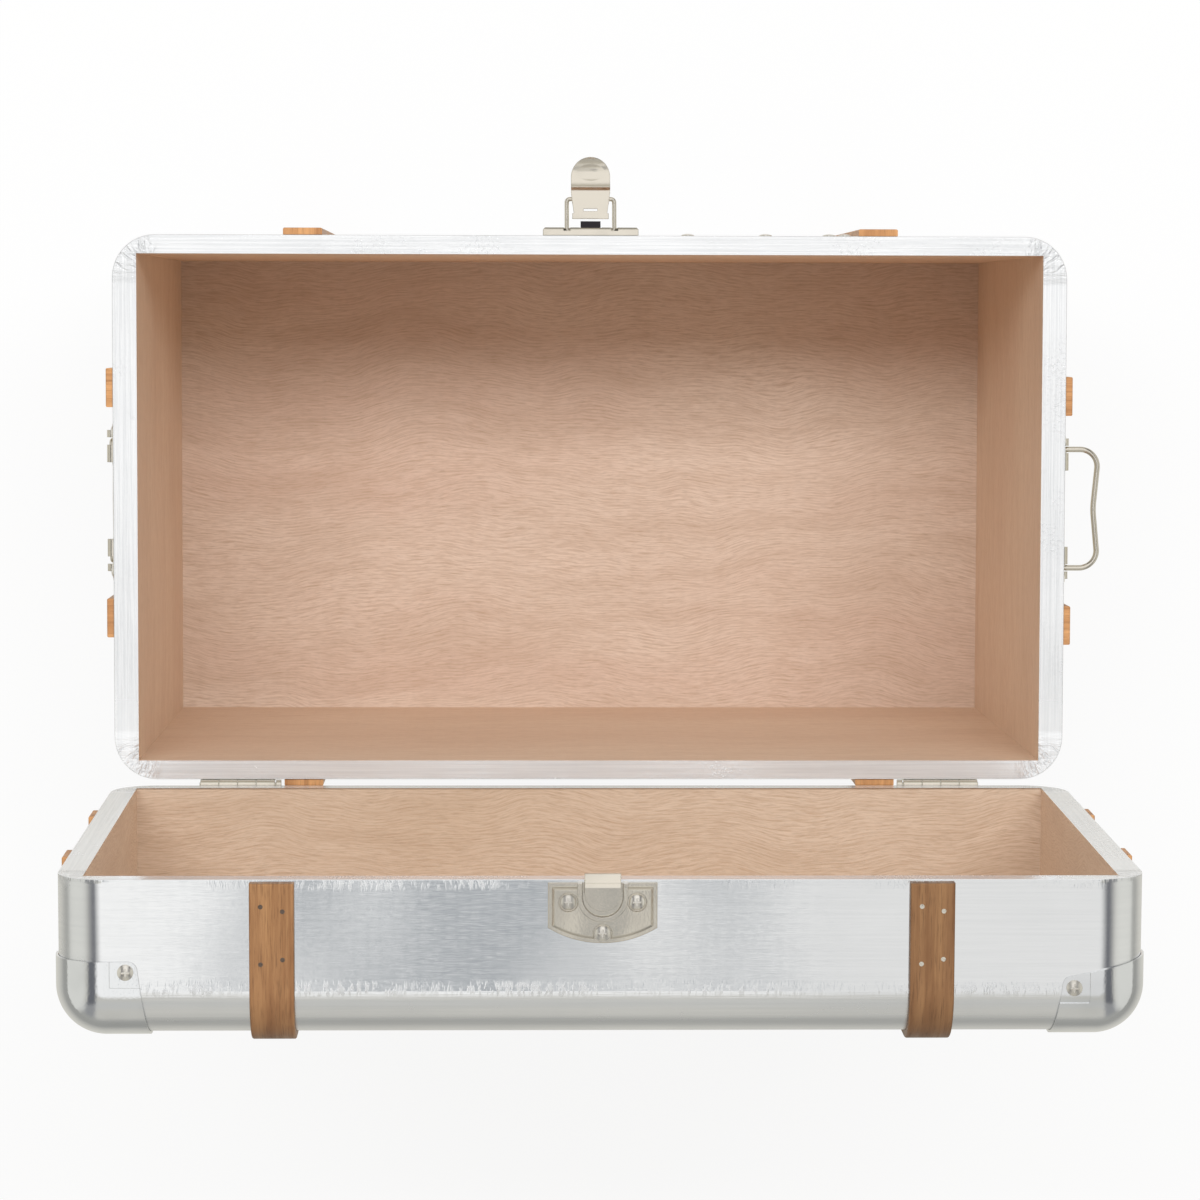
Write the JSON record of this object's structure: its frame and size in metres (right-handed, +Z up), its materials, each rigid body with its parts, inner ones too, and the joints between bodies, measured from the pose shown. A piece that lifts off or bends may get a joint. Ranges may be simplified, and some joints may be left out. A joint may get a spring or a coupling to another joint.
{
  "type": "metal-clad travelling trunk",
  "caption": "Plywood trunk clad in thin aluminium sheet, with wooden slats, ball corners, a draw latch, drop handles and a deep hinged lid standing open.",
  "frame": {"origin": "on the floor under the middle of the body, in the plane of the two skids that the trunk stands on", "axes": "+Z up, -Y the front with the latch, +Y the rear with the hinges and the open lid, +X the right side seen from the front"},
  "size_m": [0.6347, 0.5001, 0.7115],
  "materials": {
    "plywood": "rotary-cut lauan plywood, sanded and bare",
    "aluminium_sheet": "thin mill-finish sheet, lightly rubbed and creased",
    "slat_wood": "oiled hardwood slat",
    "polished_corner": "polished stamped steel",
    "nickel": "nickel-plated stamped steel",
    "screw_steel": "zinc-plated steel",
    "nail_steel": "dull nail heads",
    "spring_steel": "blued spring steel"
  },
  "bodies": {
    "chest": {"base_panel": "plywood", "body_cap_left_front": "polished_corner", "body_cap_left_rear": "polished_corner", "body_cap_right_front": "polished_corner", "body_cap_right_rear": "polished_corner", "body_cap_screws": "screw_steel", "body_hinge_screws": "screw_steel", "body_left_front_slat": "slat_wood", "body_left_hoop": "slat_wood", "body_left_rear_slat": "slat_wood", "body_right_front_slat": "slat_wood", "body_right_hoop": "slat_wood", "body_right_rear_slat": "slat_wood", "body_sheet": "aluminium_sheet", "body_slat_nails": "nail_steel", "front_board": "plywood", "front_dome_nails": "screw_steel", "handle_screws": "screw_steel", "hinge_left_body_leaf": "nickel", "hinge_left_pin": "nickel", "hinge_right_body_leaf": "nickel", "hinge_right_pin": "nickel", "latch_base": "nickel", "latch_screws": "screw_steel", "left_board": "plywood", "left_handle_plate": "nickel", "rear_board": "plywood", "right_board": "plywood", "right_handle_plate": "nickel"},
    "lid": {"catch_plate": "nickel", "catch_screws": "screw_steel", "catch_tab": "nickel", "hinge_left_lid_leaf": "nickel", "hinge_right_lid_leaf": "nickel", "lid_cap_left_front": "polished_corner", "lid_cap_left_rear": "polished_corner", "lid_cap_right_front": "polished_corner", "lid_cap_right_rear": "polished_corner", "lid_cap_screws": "screw_steel", "lid_front_board": "plywood", "lid_hinge_screws": "screw_steel", "lid_left_board": "plywood", "lid_left_front_slat": "slat_wood", "lid_left_hoop": "slat_wood", "lid_left_rear_slat": "slat_wood", "lid_rear_board": "plywood", "lid_right_board": "plywood", "lid_right_front_slat": "slat_wood", "lid_right_hoop": "slat_wood", "lid_right_rear_slat": "slat_wood", "lid_sheet": "aluminium_sheet", "lid_slat_nails": "nail_steel", "lid_top_panel": "plywood"},
    "latch_link": {"latch_link": "nickel", "latch_spring": "spring_steel"},
    "latch_lever": {"latch_lever": "nickel"},
    "left_bail": {"left_bail": "nickel"},
    "right_bail": {"right_bail": "nickel"}
  },
  "joints": [
    {"name": "lid_hinge", "type": "hinge", "parent": "chest", "child": "lid", "pos_m": [0, 0.1747, 0.3597], "axis": [-1, 0, 0], "range_deg": [-91.9, 0]},
    {"name": "latch_link_pivot", "type": "hinge", "parent": "chest", "child": "latch_link", "pos_m": [0, -0.174, 0.346], "axis": [1, 0, 0], "range_deg": [-90, 0]},
    {"name": "latch_lever_pivot", "type": "hinge", "parent": "latch_link", "child": "latch_lever", "pos_m": [0, -0.1948, 0.3395], "axis": [-1, 0, 0], "range_deg": [-180, 0]},
    {"name": "left_bail_pivot", "type": "hinge", "parent": "chest", "child": "left_bail", "pos_m": [-0.304, 0.0013, 0.3225], "axis": [0, 1, 0], "range_deg": [-90, 0]},
    {"name": "right_bail_pivot", "type": "hinge", "parent": "chest", "child": "right_bail", "pos_m": [0.304, -0.003, 0.3225], "axis": [0, -1, 0], "range_deg": [0, 90]}
  ],
  "couplings": [
    {"joint": "latch_lever_pivot", "follows": "latch_link_pivot", "ratio": 2}
  ]
}
